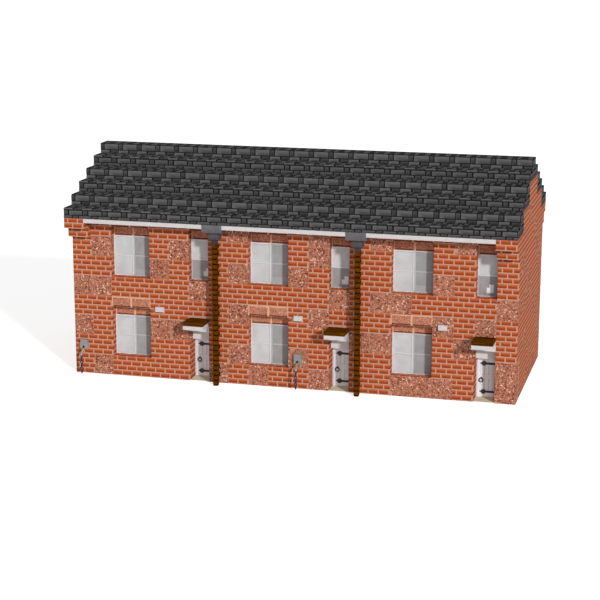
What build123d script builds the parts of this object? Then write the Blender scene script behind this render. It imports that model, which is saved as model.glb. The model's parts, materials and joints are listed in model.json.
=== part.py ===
"""Row of three terraced houses: brick walls, stepped slate roof, timber front doors and their fittings.

X runs along the row from left to right, Y from the front to the rear and Z up from the ground.
The origin is on the ground under the middle of the row. All sizes are in millimetres.
"""

import os
from math import cos, radians, sin

from build123d import *

# ---------------------------------------------------------------- driving dimensions
# Masonry shell
house_count = 3
house_width = 6000  # clear width of a house between its side walls
house_depth = 9000  # outer face of the front wall to outer face of the rear wall
wall_thickness = 1000
eaves_height = 8000

# Windows
ground_sill_height = 1000
window_height = 2000
wide_window_width = 2000
narrow_window_width = 1000  # at the rear; at the front it is as wide as the door below
window_pier_width = 1000  # wall between a side wall and the wide window
frame_setback = 440  # outer wall face to the window frame
frame_depth = 120
frame_width = 60
glass_thickness = 20
blind_thickness = 12
blind_gap = 20  # glass to the blind behind it

# Lintels and door heads are inverted steps: the lower half stands back in the opening
head_height = 1000
head_nose_height = 500
head_setback = 500

# Floors
ground_floor_thickness = 40
upper_floor_top = 4000
upper_floor_thickness = 300

# Roof of stepped slate courses
eaves_overhang = 1000
courses_per_slope = 5
course_height = 500
ridge_width = 1000
slate_lap = 20  # courses lap the stepped gable brickwork by this much
verge_overhang = 10  # slates stand this far outside the brickwork of the gables and their corbels
eaves_board_height = 200

# Brick corbels that carry the roof's overhang at the gables
corbel_steps = 2
corbel_step_height = 500

# Rainwater fittings
hopper_tiers = ((1000, 375), (500, 375), (250, 250))  # width and height, from the top down
pipe_size = 250
bracket_width = 125
bracket_height = 190
bracket_spacing = 1000
bracket_drops = (250, 625)  # pipe's top to the foot of its highest brackets, repeated at every spacing

# Front door and its canopy
door_opening_width = 1000
door_opening_height = 2000
canopy_projection = 1000
canopy_slab_height = 190
canopy_board_height = 190
door_setback = 812  # outer wall face to the face of the leaf
door_frame_width = 50
door_frame_lip = 10  # the frame stands this far in front of the leaf
leaf_thickness = 60
leaf_side_gap = 6
leaf_floor_gap = 10
stile_width = 132
top_rail_height = 320
middle_rail_height = 190
bottom_rail_height = 340
middle_rail_rise = 880  # foot of the leaf to the foot of the middle rail
panel_recess = 12

# Door ironwork
hinge_heights = (310, 1690)
pin_offset = 10  # back of the leaf to the hinge axis
knuckle_radius = 8
knuckle_height = 50
knuckle_gap = 0.5
hinge_plate_thickness = 4
hinge_plate_width = 45
strap_length = 790
strap_height = 100
strap_thickness = 10
strap_boss_size = 230  # height of the lozenge near the strap's tip
strap_boss_width = 200
strap_boss_inset = 205  # tip of the strap to the middle of the lozenge
ring_height = 878
ring_inset = 194  # free edge of the leaf to the ring's middle
ring_radius = 92
ring_wire = 50
ring_sides = 8
ring_turns = 12  # corners round each half of the ring
ring_standoff = 42
ring_rose_radius = 50
ring_rose_thickness = 10
ring_stud_radius = 32
ring_stud_head = 5  # the stud stands this far in front of the ring

# Small fittings on the front wall
alarm_box_size = (430, 125, 250)
alarm_box_height = 3500
alarm_box_offset = 4500  # left edge of the house to the middle of its box
fitting_edge = 12

# Outside taps, each with a chain that hangs to the ground
tap_offsets = (500, 11500)  # left end of the row to each tap
tap_plate_size = (375, 187, 500)
tap_height = 1500
tap_projection = 500
spout_radius = 55
spout_drop = 440  # middle of the plate to the middle of the nozzle
nozzle_radius = 62
nozzle_height = 100
link_count = 6
link_wire = 28
link_sides = 8
link_turns = 4  # corners round each end of a link
link_length = 200
link_width = 112
link_clearance = 0.3

# ---------------------------------------------------------------- places worked out from them
house_pitch = house_width + wall_thickness
row_length = house_count * house_pitch + wall_thickness
row_left = -row_length / 2
row_right = row_length / 2
gable_thickness = wall_thickness - verge_overhang
front_face = -house_depth / 2
rear_face = house_depth / 2
front_inner_face = front_face + wall_thickness
rear_inner_face = rear_face - wall_thickness
eaves_edge = front_face - eaves_overhang
course_depth = (-ridge_width / 2 - eaves_edge) / courses_per_slope
deck_depth = 2 * course_height  # top of a course to its underside, between the side walls
ridge_bottom = eaves_height + courses_per_slope // 2 * 2 * course_height
ridge_top = eaves_height + (courses_per_slope + 1) * course_height
house_lefts = [row_left + number * house_pitch for number in range(house_count)]
party_wall_lefts = house_lefts[1:]
door_lefts = [left + house_pitch - door_opening_width for left in house_lefts]
wide_window_lefts = [left + wall_thickness + window_pier_width for left in house_lefts]
rear_narrow_lefts = [left + house_pitch - 2 * narrow_window_width for left in house_lefts]
upper_sill_height = eaves_height - head_height - window_height  # the upper lintels carry the eaves
sill_heights = (ground_sill_height, upper_sill_height)


# ---------------------------------------------------------------- shared shapes
def add_block(low, high, mode=Mode.ADD):
    """Add or cut a block between two opposite corners."""
    size = [end - start for start, end in zip(low, high)]
    with Locations(low):
        Box(*size, align=(Align.MIN, Align.MIN, Align.MIN), mode=mode)


def add_panel(left, right, bottom, top, mode=Mode.ADD):
    """Add or cut an upright rectangle in a sketch that faces the front."""
    with Locations(((left + right) / 2, (bottom + top) / 2)):
        Rectangle(right - left, top - bottom, mode=mode)


def facing(depth):
    """Upright plane at this Y, seen from the front, with X to the right and Z up."""
    return Plane.XZ.offset(-depth)


def add_section(points, left, length):
    """Run a section given by its (Y, Z) corners along the row."""
    with BuildSketch(Plane.YZ.offset(left)) as section:
        Polygon(*points, align=None)
    extrude(section.sketch, amount=length)


def mirrored(points):
    """Front half of an outline, followed by its rear half."""
    return points + [(-y, z) for y, z in reversed(points)]


def add_head(left, width, bottom, side):
    """Inverted step over an opening. side is -1 on the front wall and 1 on the rear wall."""
    face = side * rear_face
    back = face - side * wall_thickness
    nose = face - side * head_setback
    middle = bottom + head_nose_height
    top = bottom + head_height
    add_section([(face, top), (face, middle), (nose, middle), (nose, bottom), (back, bottom), (back, top)], left, width)


def add_wire_loop(flat, bend, straight, turns, wire_size, wire_sides):
    """Closed loop of faceted wire in a plane: two half rounds of mitred turns, set apart by twice the straight."""
    turn_angle = radians(180 / turns)
    corner = bend / cos(turn_angle / 2)
    upper_end = [
        (corner * cos(turn_angle * (turn + 0.5)), straight + corner * sin(turn_angle * (turn + 0.5)))
        for turn in range(turns)
    ]
    lower_end = [(-u, -v) for u, v in upper_end]
    with BuildLine(flat) as loop:
        Polyline((bend, 0), *upper_end, *lower_end, close=True)
    start = flat.from_local_coords((bend, 0, 0))
    with BuildSketch(Plane(origin=start, x_dir=flat.x_dir, z_dir=flat.y_dir)) as wire:
        RegularPolygon(wire_size / 2, wire_sides)
    sweep(wire.sketch, path=loop.line, transition=Transition.RIGHT)


def finish(part, name):
    """Label a finished piece and write its file."""
    part.label = name
    export_step(part, f"parts/{name}.step")


# ---------------------------------------------------------------- masonry
def gable_steps():
    """Stepped top of the gable brickwork, from the first step to the middle, one step for two courses."""
    points = []
    for step in range(1, courses_per_slope // 2 + 1):
        y = eaves_edge + 2 * step * course_depth + slate_lap
        z = eaves_height + 2 * step * course_height
        points += [(y, z - 2 * course_height), (y, z)]
    return points


def make_gable_wall(left):
    """End wall with corbels under the overhang and a stepped top."""
    outline = [(front_face, 0)]
    corbel_bottom = eaves_height - corbel_steps * corbel_step_height
    for step in range(corbel_steps):
        bottom = corbel_bottom + step * corbel_step_height
        y = front_face - (step + 1) * (eaves_overhang - verge_overhang) / corbel_steps
        outline += [(outline[-1][0], bottom), (y, bottom)]
    corbel_top = (outline[-1][0], eaves_height)
    with BuildPart() as gable_wall:
        add_section(mirrored(outline + [corbel_top] + gable_steps()), left, gable_thickness)
    return gable_wall.part


def make_party_wall(left):
    """Wall between two houses, up to the underside of the roof."""
    with BuildPart() as party_wall:
        add_section(mirrored([(front_face, 0), (front_face, eaves_height)] + deck_underside()), left, wall_thickness)
    return party_wall.part


def make_front_wall(left):
    """Front wall of one house from its side wall to the door, with its two wide windows cut through."""
    window_left = left + wall_thickness + window_pier_width
    with BuildPart() as front_wall:
        with BuildSketch(facing(front_face)):
            add_panel(left + wall_thickness, left + house_pitch - door_opening_width, 0, eaves_height)
            for sill in sill_heights:
                top = sill + window_height + head_height
                add_panel(window_left, window_left + wide_window_width, sill, top, Mode.SUBTRACT)
        extrude(amount=-wall_thickness)
    return front_wall.part


def make_rear_wall(left):
    """Rear wall of one house, with a wide and a narrow window on each storey."""
    window_left = left + wall_thickness + window_pier_width
    narrow_left = left + house_pitch - 2 * narrow_window_width
    with BuildPart() as rear_wall:
        with BuildSketch(facing(rear_inner_face)):
            add_panel(left + wall_thickness, left + house_pitch, 0, eaves_height)
            for sill in sill_heights:
                top = sill + window_height + head_height
                add_panel(window_left, window_left + wide_window_width, sill, top, Mode.SUBTRACT)
                add_panel(narrow_left, narrow_left + narrow_window_width, sill, top, Mode.SUBTRACT)
        extrude(amount=-wall_thickness)
    return rear_wall.part


def deck_underside():
    """Underside of the front slope between the side walls, from the wall to the ridge."""
    points = []
    for course in range(2, courses_per_slope):
        y = eaves_edge + course * course_depth + slate_lap
        z = eaves_height + course * course_height - deck_depth
        points += [(y, z), (y, z + course_height)]
    return points + [(-ridge_width / 2, points[-1][1])]


os.makedirs("parts", exist_ok=True)

finish(make_gable_wall(row_left + verge_overhang), "left_gable_wall")
finish(make_gable_wall(row_right - wall_thickness), "right_gable_wall")
for number, wall_left in enumerate(party_wall_lefts, 1):
    finish(make_party_wall(wall_left), f"party_wall_{number}")
for number, house_left in enumerate(house_lefts, 1):
    finish(make_front_wall(house_left), f"front_wall_{number}")
    finish(make_rear_wall(house_left), f"rear_wall_{number}")

with BuildPart() as over_door_walls:
    for door_left in door_lefts:
        add_block(
            (door_left, front_face, door_opening_height + head_height),
            (door_left + door_opening_width, front_inner_face, upper_sill_height),
        )
finish(over_door_walls.part, "over_door_walls")

with BuildPart() as front_lintels:
    for window_left, door_left in zip(wide_window_lefts, door_lefts):
        for sill in sill_heights:
            add_head(window_left, wide_window_width, sill + window_height, -1)
        add_head(door_left, door_opening_width, upper_sill_height + window_height, -1)
finish(front_lintels.part, "front_lintels")

with BuildPart() as rear_lintels:
    for window_left, narrow_left in zip(wide_window_lefts, rear_narrow_lefts):
        for sill in sill_heights:
            add_head(window_left, wide_window_width, sill + window_height, 1)
            add_head(narrow_left, narrow_window_width, sill + window_height, 1)
finish(rear_lintels.part, "rear_lintels")

with BuildPart() as door_heads:
    for door_left in door_lefts:
        add_head(door_left, door_opening_width, door_opening_height, -1)
finish(door_heads.part, "door_heads")

# ---------------------------------------------------------------- floors
with BuildPart() as ground_floors:
    for house_left in house_lefts:
        add_block(
            (house_left + wall_thickness, front_inner_face, 0),
            (house_left + house_pitch, rear_inner_face, ground_floor_thickness),
        )
finish(ground_floors.part, "ground_floors")

with BuildPart() as upper_floors:
    for house_left in house_lefts:
        add_block(
            (house_left + wall_thickness, front_inner_face, upper_floor_top - upper_floor_thickness),
            (house_left + house_pitch, rear_inner_face, upper_floor_top),
        )
finish(upper_floors.part, "upper_floors")

with BuildPart() as door_thresholds:
    for door_left in door_lefts:
        add_block(
            (door_left, front_face, 0),
            (door_left + door_opening_width, front_inner_face, ground_floor_thickness),
        )
finish(door_thresholds.part, "door_thresholds")


# ---------------------------------------------------------------- roof
def slope_top():
    """Stepped top of the front slope, from the eaves to the ridge."""
    points = [(eaves_edge, eaves_height)]
    for course in range(courses_per_slope):
        y = eaves_edge + course * course_depth
        z = eaves_height + (course + 1) * course_height
        points += [(y, z), (y + course_depth, z)]
    return points


def make_slope(side):
    """One roof slope: its courses run the whole row, over the gables and over a deeper deck between them."""
    ridge_side = -ridge_width / 2
    verge = slope_top() + [(ridge_side, ridge_bottom)] + gable_steps()[::-1]
    deck = slope_top() + deck_underside()[::-1]
    with BuildPart() as slope:
        add_section([(-side * y, z) for y, z in verge], row_left, row_length)
        add_section([(-side * y, z) for y, z in deck], row_left + wall_thickness, row_length - 2 * wall_thickness)
    return slope.part


finish(make_slope(-1), "roof_front")
finish(make_slope(1), "roof_rear")

with BuildPart() as roof_ridge:
    add_block((row_left, -ridge_width / 2, ridge_bottom), (row_right, ridge_width / 2, ridge_top))
finish(roof_ridge.part, "roof_ridge")

with BuildPart() as eaves_boards:
    for house_left in house_lefts:
        for y in (eaves_edge, rear_face):
            add_block(
                (house_left + wall_thickness, y, eaves_height - eaves_board_height),
                (house_left + house_pitch, y + eaves_overhang, eaves_height),
            )
finish(eaves_boards.part, "eaves_boards")

# ---------------------------------------------------------------- rainwater fittings
pipe_middles = [
    (left + wall_thickness / 2, side * (rear_face + eaves_overhang / 2))
    for left in party_wall_lefts
    for side in (-1, 1)
]
pipe_top = eaves_height - sum(height for _, height in hopper_tiers)

with BuildPart() as hopper_heads:
    for x, y in pipe_middles:
        tier_top = eaves_height
        for size, height in hopper_tiers:
            add_block((x - size / 2, y - size / 2, tier_top - height), (x + size / 2, y + size / 2, tier_top))
            tier_top -= height
finish(hopper_heads.part, "hopper_heads")

with BuildPart() as downpipes:
    for x, y in pipe_middles:
        half = pipe_size / 2
        add_block((x - half, y - half, 0), (x + half, y + half, pipe_top))
finish(downpipes.part, "downpipes")

with BuildPart() as pipe_brackets:
    for x, y in pipe_middles:
        pipe_back = abs(y) - pipe_size / 2
        y_low, y_high = sorted((rear_face * (1 if y > 0 else -1), pipe_back * (1 if y > 0 else -1)))
        for level in range(int(pipe_top // bracket_spacing)):
            for drop in bracket_drops:
                z = pipe_top - level * bracket_spacing - drop
                add_block((x - bracket_width / 2, y_low, z), (x + bracket_width / 2, y_high, z + bracket_height))
finish(pipe_brackets.part, "pipe_brackets")

# ---------------------------------------------------------------- windows
front_openings = [
    (left, wide_window_width, sill) for left in wide_window_lefts for sill in sill_heights
] + [(left, door_opening_width, upper_sill_height) for left in door_lefts]
rear_openings = [
    (left, wide_window_width, sill) for left in wide_window_lefts for sill in sill_heights
] + [(left, narrow_window_width, sill) for left in rear_narrow_lefts for sill in sill_heights]


def make_frames(openings, near_face):
    """A frame round each opening, near_face being the Y of its side towards the front."""
    with BuildPart() as frames:
        for left, width, sill in openings:
            with BuildSketch(facing(near_face)):
                add_panel(left, left + width, sill, sill + window_height)
                add_panel(
                    left + frame_width,
                    left + width - frame_width,
                    sill + frame_width,
                    sill + window_height - frame_width,
                    Mode.SUBTRACT,
                )
            extrude(amount=-frame_depth)
    return frames.part


def make_sheets(openings, near_face, thickness):
    """A sheet inside the frame of each opening."""
    with BuildPart() as sheets:
        for left, width, sill in openings:
            add_block(
                (left + frame_width, near_face, sill + frame_width),
                (left + width - frame_width, near_face + thickness, sill + window_height - frame_width),
            )
    return sheets.part


front_frame_face = front_face + frame_setback
rear_frame_face = rear_face - frame_setback - frame_depth
glass_inset = (frame_depth - glass_thickness) / 2
front_glass_face = front_frame_face + glass_inset
rear_glass_face = rear_frame_face + glass_inset
finish(make_frames(front_openings, front_frame_face), "front_window_frames")
finish(make_frames(rear_openings, rear_frame_face), "rear_window_frames")
finish(make_sheets(front_openings, front_glass_face, glass_thickness), "front_glass")
finish(make_sheets(rear_openings, rear_glass_face, glass_thickness), "rear_glass")

# A closed blind over the left half of each wide window, a half-drawn one over each narrow window
with BuildPart() as window_blinds:
    for openings, blind_face in (
        (front_openings, front_glass_face + glass_thickness + blind_gap),
        (rear_openings, rear_glass_face - blind_gap - blind_thickness),
    ):
        for left, width, sill in openings:
            wide = width == wide_window_width
            blind_right = left + width / 2 if wide else left + width - frame_width
            blind_bottom = sill + frame_width if wide else sill + window_height / 2
            add_block(
                (left + frame_width, blind_face, blind_bottom),
                (blind_right, blind_face + blind_thickness, sill + window_height - frame_width),
            )
finish(window_blinds.part, "window_blinds")

# ---------------------------------------------------------------- front doors
leaf_face = front_face + door_setback
leaf_back = leaf_face + leaf_thickness
leaf_bottom = ground_floor_thickness + leaf_floor_gap
leaf_top = door_opening_height - door_frame_width - leaf_side_gap
leaf_inset = door_frame_width + leaf_side_gap
pin_y = leaf_back + pin_offset


def pin_x(door_left):
    """Hinge axis, in the middle of the gap beside the leaf's right edge."""
    return door_left + door_opening_width - door_frame_width - leaf_side_gap / 2


def add_hinge_half(x, bottom, reach):
    """Knuckle round the hinge axis with its plate, which reaches to the leaf (-1) or the frame (1)."""
    with Locations((x, pin_y, bottom)):
        Cylinder(knuckle_radius, knuckle_height - knuckle_gap, align=(Align.CENTER, Align.CENTER, Align.MIN))
    plate_left, plate_right = sorted((x, x + reach * hinge_plate_width))
    add_block(
        (plate_left, leaf_back, bottom),
        (plate_right, leaf_back + hinge_plate_thickness, bottom + knuckle_height - knuckle_gap),
    )


with BuildPart() as door_frames:
    for door_left in door_lefts:
        door_right = door_left + door_opening_width
        with BuildSketch(facing(leaf_face - door_frame_lip)):
            add_panel(door_left, door_right, ground_floor_thickness, door_opening_height)
            add_panel(
                door_left + door_frame_width,
                door_right - door_frame_width,
                ground_floor_thickness,
                door_opening_height - door_frame_width,
                Mode.SUBTRACT,
            )
        extrude(amount=-(door_frame_lip + leaf_thickness))
        for height in hinge_heights:
            add_hinge_half(pin_x(door_left), height - knuckle_height, 1)
finish(door_frames.part, "door_frames")


def make_leaf(door_left):
    """Framed leaf with two recessed boarded panels and the moving halves of its hinges."""
    left = door_left + leaf_inset
    right = door_left + door_opening_width - leaf_inset
    middle_rail_bottom = leaf_bottom + middle_rail_rise
    with BuildPart() as leaf:
        with BuildSketch(facing(leaf_face)):
            add_panel(left, right, leaf_bottom, leaf_top)
        extrude(amount=-leaf_thickness)
        with BuildSketch(facing(leaf_face)):
            panel_left = left + stile_width
            panel_right = right - stile_width
            add_panel(panel_left, panel_right, leaf_bottom + bottom_rail_height, middle_rail_bottom)
            add_panel(panel_left, panel_right, middle_rail_bottom + middle_rail_height, leaf_top - top_rail_height)
        extrude(amount=-panel_recess, mode=Mode.SUBTRACT)
        for height in hinge_heights:
            add_hinge_half(pin_x(door_left), height, -1)
    return leaf.part


def make_straps(door_left):
    """Two iron straps with a lozenge near the pointed tip, flat on the face of the leaf."""
    right = door_left + door_opening_width - leaf_inset
    tip = right - strap_length
    boss = tip + strap_boss_inset
    half = strap_height / 2
    with BuildPart() as straps:
        for height in hinge_heights:
            with BuildSketch(facing(leaf_face)):
                Polygon(
                    (right, height - half),
                    (right, height + half),
                    (tip + strap_height, height + half),
                    (tip, height),
                    (tip + strap_height, height - half),
                    align=None,
                )
                Polygon(
                    (boss - strap_boss_width / 2, height),
                    (boss, height + strap_boss_size / 2),
                    (boss + strap_boss_width / 2, height),
                    (boss, height - strap_boss_size / 2),
                    align=None,
                )
            extrude(amount=strap_thickness)
    return straps.part


def make_ring(door_left):
    """Ring handle hung from a stud on a round rose."""
    x = door_left + leaf_inset + ring_inset
    rose_z = ring_height + ring_radius
    with BuildPart() as ring:
        flat = Plane(origin=(x, leaf_face - ring_standoff, ring_height), x_dir=(1, 0, 0), z_dir=(0, -1, 0))
        add_wire_loop(flat, ring_radius, 0, ring_turns, ring_wire, ring_sides)
        with BuildSketch(facing(leaf_face)):
            with Locations((x, rose_z)):
                Circle(ring_rose_radius)
        extrude(amount=ring_rose_thickness)
        with BuildSketch(facing(leaf_face)):
            with Locations((x, rose_z)):
                Circle(ring_stud_radius)
        extrude(amount=ring_standoff + ring_wire / 2 + ring_stud_head)
    return ring.part


for number, door_left in enumerate(door_lefts, 1):
    finish(make_leaf(door_left), f"door_leaf_{number}")
    finish(make_straps(door_left), f"door_straps_{number}")
    finish(make_ring(door_left), f"door_ring_{number}")

# ---------------------------------------------------------------- canopies over the doors
canopy_top = door_opening_height + head_height
canopy_front = front_face - canopy_projection

with BuildPart() as canopy_slabs:
    for door_left in door_lefts:
        add_block(
            (door_left, canopy_front, canopy_top - canopy_slab_height),
            (door_left + door_opening_width, front_face, canopy_top),
        )
finish(canopy_slabs.part, "canopy_slabs")

with BuildPart() as canopy_boards:
    for door_left in door_lefts:
        add_block(
            (door_left, canopy_front, canopy_top),
            (door_left + door_opening_width, front_face, canopy_top + canopy_board_height),
        )
finish(canopy_boards.part, "canopy_boards")

# ---------------------------------------------------------------- small fittings
with BuildPart() as alarm_boxes:
    width, depth, height = alarm_box_size
    for house_left in house_lefts:
        x = house_left + alarm_box_offset
        with BuildSketch(facing(front_face)):
            with Locations((x, alarm_box_height)):
                Rectangle(width, height)
        extrude(amount=depth)
    chamfer(alarm_boxes.faces().filter_by(Axis.Y).group_by(Axis.Y)[0].edges(), fitting_edge)
finish(alarm_boxes.part, "alarm_boxes")

plate_width, plate_depth, plate_height = tap_plate_size
tap_middles = [row_left + offset for offset in tap_offsets]
nozzle_y = front_face - tap_projection
nozzle_z = tap_height - spout_drop

with BuildPart() as tap_plates:
    for x in tap_middles:
        with BuildSketch(facing(front_face)):
            with Locations((x, tap_height)):
                Rectangle(plate_width, plate_height)
        extrude(amount=plate_depth)
    chamfer(tap_plates.faces().filter_by(Axis.Y).group_by(Axis.Y)[0].edges(), fitting_edge)
finish(tap_plates.part, "tap_plates")

link_pitch = link_length - 2 * link_wire - link_clearance
eye_bottom = link_count * link_pitch


def add_link(x, y, bottom, turned):
    """Chain link that stands upright, with its flat along X, or along Y when it is turned."""
    across = (0, 1, 0) if turned else (1, 0, 0)
    through = (1, 0, 0) if turned else (0, -1, 0)
    flat = Plane(origin=(x, y, bottom + link_length / 2), x_dir=across, z_dir=through)
    bend = (link_width - link_wire) / 2
    straight = (link_length - link_width) / 2
    add_wire_loop(flat, bend, straight, link_turns, link_wire, link_sides)


with BuildPart() as tap_spouts:
    for x in tap_middles:
        axis = Vector(0, 1, 1).normalized()
        length = tap_projection * 2**0.5
        with BuildSketch(Plane(origin=(x, nozzle_y, nozzle_z), x_dir=(1, 0, 0), z_dir=axis)):
            Circle(spout_radius)
        extrude(amount=length)
        with Locations((x, nozzle_y, nozzle_z)):
            Cylinder(nozzle_radius, nozzle_height)
        add_link(x, nozzle_y, eye_bottom, link_count % 2 == 1)
    add_block(
        (row_left, front_face - plate_depth, 0),
        (row_right, rear_face, eaves_height),
        Mode.SUBTRACT,
    )
finish(tap_spouts.part, "tap_spouts")

with BuildPart() as tap_chains:
    for x in tap_middles:
        for number in range(link_count):
            add_link(x, nozzle_y, number * link_pitch, number % 2 == 1)
finish(tap_chains.part, "tap_chains")
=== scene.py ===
"""Row of three brick terraced houses, dressed over its CAD frame.

X runs along the row from left to right, Y from the front to the rear and Z up. All sizes are in metres.
The CAD walls stay as the mortar, and every brick, stone and slate is a block of its own laid over them.
"""

import json
import math
import random

import bpy
import numpy as np
from mathutils import Euler, Matrix, Vector

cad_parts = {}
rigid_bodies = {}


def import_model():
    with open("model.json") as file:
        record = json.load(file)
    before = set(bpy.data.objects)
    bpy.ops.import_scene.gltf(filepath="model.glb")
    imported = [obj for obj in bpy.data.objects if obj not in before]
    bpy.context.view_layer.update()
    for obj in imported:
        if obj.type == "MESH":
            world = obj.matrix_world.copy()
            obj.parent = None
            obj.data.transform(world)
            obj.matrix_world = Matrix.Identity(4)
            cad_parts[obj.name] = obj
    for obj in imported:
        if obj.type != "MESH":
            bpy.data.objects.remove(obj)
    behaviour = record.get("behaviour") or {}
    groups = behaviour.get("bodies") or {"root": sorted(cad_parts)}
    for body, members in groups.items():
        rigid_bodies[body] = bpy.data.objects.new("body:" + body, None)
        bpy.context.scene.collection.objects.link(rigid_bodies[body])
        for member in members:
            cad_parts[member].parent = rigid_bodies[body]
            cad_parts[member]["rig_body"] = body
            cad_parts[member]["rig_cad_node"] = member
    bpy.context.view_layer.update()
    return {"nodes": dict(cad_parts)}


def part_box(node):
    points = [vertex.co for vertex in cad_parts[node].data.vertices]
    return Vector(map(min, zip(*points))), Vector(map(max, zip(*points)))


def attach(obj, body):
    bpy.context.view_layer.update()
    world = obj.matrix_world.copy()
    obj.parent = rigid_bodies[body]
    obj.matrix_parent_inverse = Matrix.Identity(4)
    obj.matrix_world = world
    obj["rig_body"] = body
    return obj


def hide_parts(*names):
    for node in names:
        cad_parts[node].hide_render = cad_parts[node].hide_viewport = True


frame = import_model()
nodes = frame["nodes"]
bpy.ops.object.select_all(action="DESELECT")

# ---------------- places, from the frame
roof_low, roof_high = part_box("roof_front")
ridge_low, ridge_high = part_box("roof_ridge")
first_wall_low, first_wall_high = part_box("front_wall_1")
frames_low, frames_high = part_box("front_window_frames")
glass_low, glass_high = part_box("front_glass")
rear_glass_low, rear_glass_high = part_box("rear_glass")

row_left, row_right = roof_low.x, roof_high.x
gable_left, gable_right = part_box("left_gable_wall")[0].x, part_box("right_gable_wall")[1].x
front_y, rear_y = first_wall_low.y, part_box("rear_wall_1")[1].y
eaves_y, eaves_z = roof_low.y, first_wall_high.z
wall_thickness = first_wall_high.y - first_wall_low.y
house_lefts = [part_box(f"front_wall_{number}")[0].x - wall_thickness for number in (1, 2, 3)]
house_pitch = house_lefts[1] - house_lefts[0]
door_lefts = [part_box(f"front_wall_{number}")[1].x for number in (1, 2, 3)]
gable_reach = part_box("left_gable_wall")[1].y  # how far the gables' corbels reach from the middle
upper_floor_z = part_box("upper_floors")[1].z
metre = 1.0  # the row is set out on this grid

# ---------------- openings, in metres from each house's left edge
window_left = frames_low.x - house_lefts[0]
window_width = 2.0
door_left = door_lefts[0] - house_lefts[0]
door_width = 1.0
rear_narrow_left = 5.0
sills = (frames_low.z, frames_low.z + upper_floor_z)
window_height = frames_high.z - sills[1]
head_height = 1.0
head_nose_height = 0.5
head_setback = 0.5
door_height = 2.0
frame_width = glass_low.x - frames_low.x
window_reveal = frames_low.y - front_y
door_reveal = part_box("door_frames")[0].y - front_y

# ---------------- brickwork
bond = 0.5  # a brick and its joint
course = 0.25  # a brick and its bed joint
perpend_width = 0.067
brick_height = 0.2
brick_foot = 0.05  # foot of a brick above the foot of its course
brick_relief = 0.01  # bricks stand this far proud of the mortar
gable_relief = 0.003  # and this far on the gables, whose joints are raked less
brick_edge = 0.012
first_joints = (0.455, 0.205)  # first perpend of even and odd courses, from the left end or from a corner
corner_depths = (0.42, 0.17)  # how far a brick of even and odd courses returns round a corner
open_corner = 0.055  # where no brick turns the corner, the next one starts this far round it
least_brick = 0.03
least_run = 0.001
corner_gap = 0.01  # between a brick that turns a corner and the next one
corbels = ((7.0, 7.5), (7.5, 8.0))  # foot and head of each
reveal_depth = 0.1  # of the bricks that line a reveal or face a gable
stone_depth = 0.3
stone_joint = 0.004  # between a granite block and its neighbours
last_cell = 21  # of the cells along the row
last_gable_cell = 8

# Cells of one metre faced with a granite block, by the height of their foot: metres from the row's left end
front_granite = {
    7: (8, 12, 15, 19),
    6: (1, 5, 12),
    5: (4, 8, 11, 18),
    4: (0, 1, 6, 13, 15, 16, 21),
    3: (8, 12, 18, 20),
    2: (0, 4, 5, 14, 15, 19),
    1: (8, 11, 21),
    0: (1, 7, 9, 12, 16, 17, 18, 21),
}
rear_granite = {
    7: (1, 8, 14, 20),
    6: (4, 11, 18, 21),
    5: (0, 7, 13, 15),
    4: (3, 9, 10, 17),
    3: (1, 13, 20),
    2: (4, 8, 15, 18),
    1: (0, 11, 14, 21),
    0: (3, 5, 10, 17, 19),
}
# And along the gables, from the front corner. The corner blocks of the fronts turn the corner by themselves
gable_granite = {8: (3,), 7: (5,), 6: (1, 6), 5: (3, 7), 4: (2, 4), 3: (6,), 2: (2, 7), 1: (4,), 0: (3, 6)}

# ---------------- slates
# Each metre of a riser or a verge shows four rows of slates, and each metre of a tread shows two:
# foot and head of the row, then its slates from left to right, each with its tone
riser_rows = (
    (0.0, 0.13, (0.80, 1.41, 0.6), (0.48, 0.74, 0.4)),
    (0.17, 0.38, (0.295, 0.95, 0.68), (1.02, 1.21, 0.38)),
    (0.43, 0.64, (0.97, 1.47, 0.92), (0.56, 0.93, 0.3)),
    (0.685, 0.955, (0.225, 0.94, 0.86), (0.985, 1.165, 0.36)),
)
tread_rows = (
    (0.03, 0.64, (0.21, 0.375, 0.85), (0.42, 0.66, 0.2), (0.71, 0.94, 0.95), (0.99, 1.17, 0.2)),
    (0.70, 0.98, (0.43, 0.61, 0.85), (0.66, 0.90, 0.22), (0.94, 1.11, 0.85), (1.16, 1.38, 0.25)),
)
slate_thickness = 0.05
slate_relief = 0.01  # the bed under the slates lies this far below them
slate_edge = 0.008
riser_height = (roof_high.z - roof_low.z) / 5
tread_depth = (ridge_low.y - eaves_y) / 5
least_slate = 0.025


# ---------------- node helpers
def colour(red, green, blue):
    """Linear colour from everyday values of 0 to 255."""
    shares = (part / 255 for part in (red, green, blue))
    linear = [share / 12.92 if share < 0.04045 else ((share + 0.055) / 1.055) ** 2.4 for share in shares]
    return *linear, 1.0


def fill(socket, value):
    """Link a socket to another one, or set its value. A colour is given in everyday values."""
    if isinstance(value, bpy.types.NodeSocket):
        socket.id_data.links.new(value, socket)
    elif socket.type == "RGBA":
        socket.default_value = colour(*value)
    else:
        socket.default_value = value


def add_node(tree, kind, inputs=None, **settings):
    """New shader node with its settings made and its inputs filled."""
    made = tree.nodes.new("ShaderNode" + kind)
    for setting, value in settings.items():
        setattr(made, setting, value)
    for socket, value in (inputs or {}).items():
        fill(made.inputs[socket], value)
    return made


def join(kind, inputs, **settings):
    """New node beside the sockets that feed it."""
    tree = next(value.id_data for value in inputs.values() if isinstance(value, bpy.types.NodeSocket))
    return add_node(tree, kind, inputs, **settings)


def work_out(operation, *values):
    """Result of one sum on values or sockets."""
    return join("Math", dict(enumerate(values)), operation=operation).outputs[0]


def times(first, second):
    """Product of two values or sockets."""
    return work_out("MULTIPLY", first, second)


def plus(first, second):
    """Sum of two values or sockets."""
    return work_out("ADD", first, second)


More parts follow.
